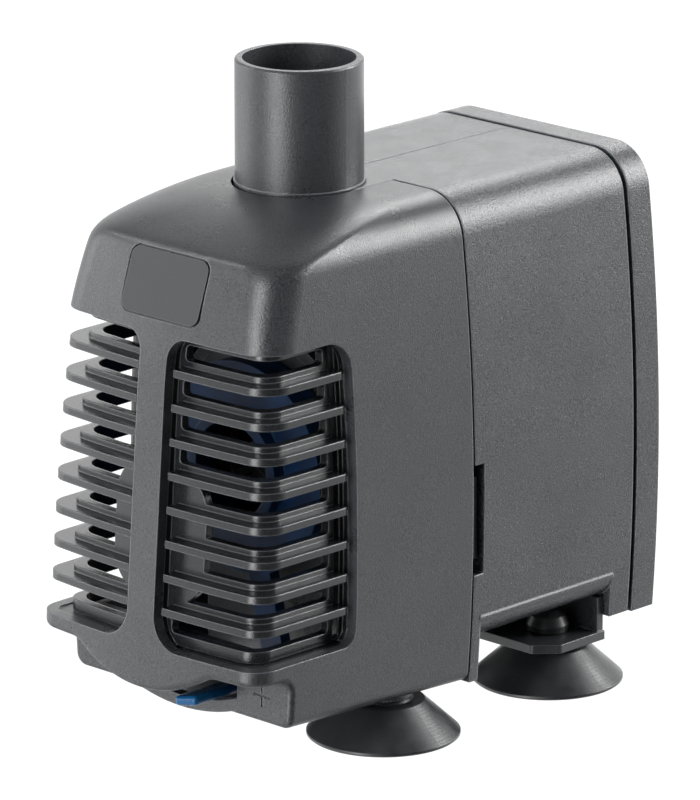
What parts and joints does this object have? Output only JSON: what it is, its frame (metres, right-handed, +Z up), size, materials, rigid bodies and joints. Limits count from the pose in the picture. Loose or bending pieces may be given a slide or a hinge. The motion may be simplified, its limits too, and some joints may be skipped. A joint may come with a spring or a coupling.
{
  "type": "submersible aquarium pump",
  "caption": "Small box-shaped submersible water pump with a louvred wrap-round intake, upright hose outlet, flow lever below the cover and suction-cup feet.",
  "frame": {"origin": "middle of the pump's outline on the surface it stands on", "axes": "+Z up, the intake grille faces -Y, +X to the right of someone who looks along +Y"},
  "size_m": [0.0558, 0.0903, 0.1025],
  "materials": {
    "housing_plastic": "fine textured satin",
    "motor_plastic": "fine textured satin",
    "grille_plastic": "satin",
    "chamber_plastic": "satin",
    "foot_plastic": "satin",
    "label_face": "smooth satin",
    "dial_blue": "gloss",
    "impeller_plastic": "satin",
    "bobbin_plastic": "satin",
    "seal_rubber": "matt",
    "cup_rubber": "matt",
    "screw_steel": "brushed",
    "shaft_steel": "ground",
    "magnet_ferrite": "ground",
    "core_iron": "varnished",
    "winding_copper": "enamelled",
    "potting_resin": "gloss"
  },
  "bodies": {
    "pump_body": {"pump_chamber": "chamber_plastic", "chamber_cover": "chamber_plastic", "chamber_seal": "seal_rubber", "chamber_screws": "screw_steel", "rotor_shaft": "shaft_steel", "front_bearing": "seal_rubber", "rear_bearing": "seal_rubber", "rotor_end_cap": "impeller_plastic", "motor_housing": "motor_plastic", "stator_core": "core_iron", "coil_bobbins": "bobbin_plastic", "coil_windings": "winding_copper", "potting_block": "potting_resin", "rear_cover": "motor_plastic", "rear_seal": "seal_rubber", "cable_grommet": "seal_rubber", "rear_foot_plate": "foot_plastic", "foot_screw": "screw_steel", "rear_cup_left": "cup_rubber", "rear_cup_right": "cup_rubber"},
    "front_shell": {"front_cover": "housing_plastic", "label_plate": "label_face", "intake_grille": "grille_plastic", "front_cup_left": "cup_rubber", "front_cup_right": "cup_rubber"},
    "regulator": {"flow_regulator": "dial_blue"},
    "rotor": {"impeller": "impeller_plastic", "magnet_rotor": "magnet_ferrite"}
  },
  "joints": [
    {"name": "front_shell_slide", "type": "slide", "parent": "pump_body", "child": "front_shell", "axis": [0, -1, 0], "range_m": [0, 0.06]},
    {"name": "regulator_turn", "type": "hinge", "parent": "pump_body", "child": "regulator", "pos_m": [0, -0.0205, 0.042], "axis": [0, -1, 0], "range_deg": [-27, 3]},
    {"name": "rotor_spin", "type": "hinge", "parent": "pump_body", "child": "rotor", "pos_m": [0, 0, 0.042], "axis": [0, 1, 0], "continuous": true}
  ]
}
